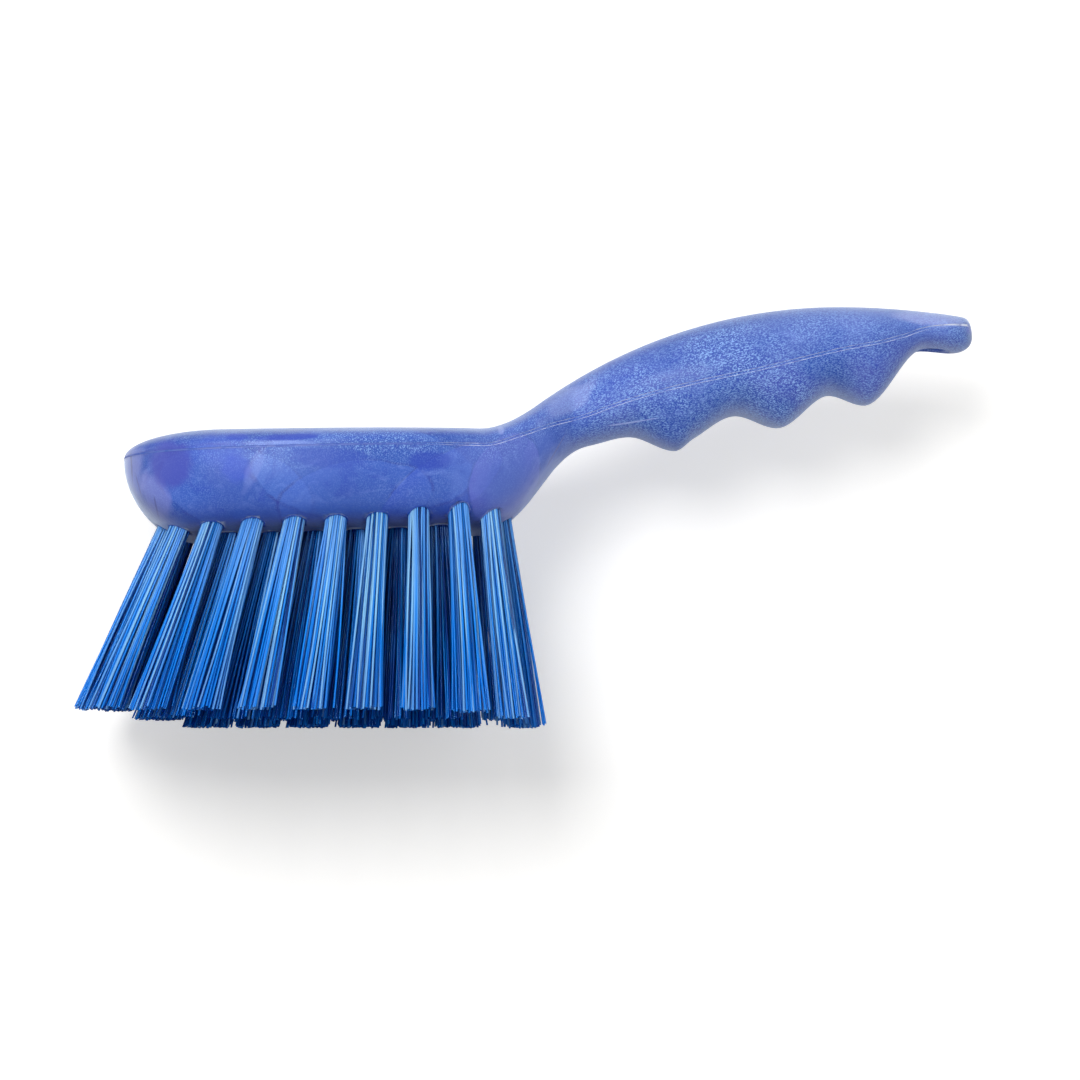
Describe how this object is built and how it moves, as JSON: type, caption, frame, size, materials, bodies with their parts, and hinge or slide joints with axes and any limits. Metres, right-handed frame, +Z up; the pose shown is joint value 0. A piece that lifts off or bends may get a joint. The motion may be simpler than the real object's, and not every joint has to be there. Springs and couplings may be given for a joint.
{
  "type": "scrub brush",
  "caption": "Hand-held scrub brush: a boat-shaped head and curved finger-grip handle moulded in one piece, with flared tufts of stiff bristle and a hang hole.",
  "frame": {"origin": "on the surface that the bristle tips stand on, under the middle of the whole brush", "axes": "+X from the toe of the head to the end of the handle, +Z up, from the bristle tips to the back of the head; the brush is symmetric about the XZ plane"},
  "size_m": [0.2037, 0.0812, 0.0965],
  "materials": {
    "foamed_plastic": "blue structural-foam polypropylene, with pale flow swirls and fine bubbles under a satin skin",
    "bristle_plastic": "glossy blue polyester filament, cut square at the tips",
    "anchor_steel": "flat drawn stainless wire"
  },
  "bodies": {
    "root": {"handle_block": "foamed_plastic", "anchor_wires": "anchor_steel", "tuft_01": "bristle_plastic", "tuft_02": "bristle_plastic", "tuft_03": "bristle_plastic", "tuft_04": "bristle_plastic", "tuft_05": "bristle_plastic", "tuft_06": "bristle_plastic", "tuft_07": "bristle_plastic", "tuft_08": "bristle_plastic", "tuft_09": "bristle_plastic", "tuft_10": "bristle_plastic", "tuft_11": "bristle_plastic", "tuft_12": "bristle_plastic", "tuft_13": "bristle_plastic", "tuft_14": "bristle_plastic", "tuft_15": "bristle_plastic", "tuft_16": "bristle_plastic", "tuft_17": "bristle_plastic", "tuft_18": "bristle_plastic", "tuft_19": "bristle_plastic", "tuft_20": "bristle_plastic", "tuft_21": "bristle_plastic", "tuft_22": "bristle_plastic", "tuft_23": "bristle_plastic", "tuft_24": "bristle_plastic", "tuft_25": "bristle_plastic", "tuft_26": "bristle_plastic", "tuft_27": "bristle_plastic", "tuft_28": "bristle_plastic", "tuft_29": "bristle_plastic", "tuft_30": "bristle_plastic", "tuft_31": "bristle_plastic", "tuft_32": "bristle_plastic", "tuft_33": "bristle_plastic", "tuft_34": "bristle_plastic", "tuft_35": "bristle_plastic", "tuft_36": "bristle_plastic", "tuft_37": "bristle_plastic", "tuft_38": "bristle_plastic", "tuft_39": "bristle_plastic", "tuft_40": "bristle_plastic", "tuft_41": "bristle_plastic", "tuft_42": "bristle_plastic", "tuft_43": "bristle_plastic", "tuft_44": "bristle_plastic", "tuft_45": "bristle_plastic", "tuft_46": "bristle_plastic", "tuft_47": "bristle_plastic", "tuft_48": "bristle_plastic", "tuft_49": "bristle_plastic", "tuft_50": "bristle_plastic", "tuft_51": "bristle_plastic", "tuft_52": "bristle_plastic", "tuft_53": "bristle_plastic", "tuft_54": "bristle_plastic", "tuft_55": "bristle_plastic", "tuft_56": "bristle_plastic", "tuft_57": "bristle_plastic"}
  },
  "joints": []
}
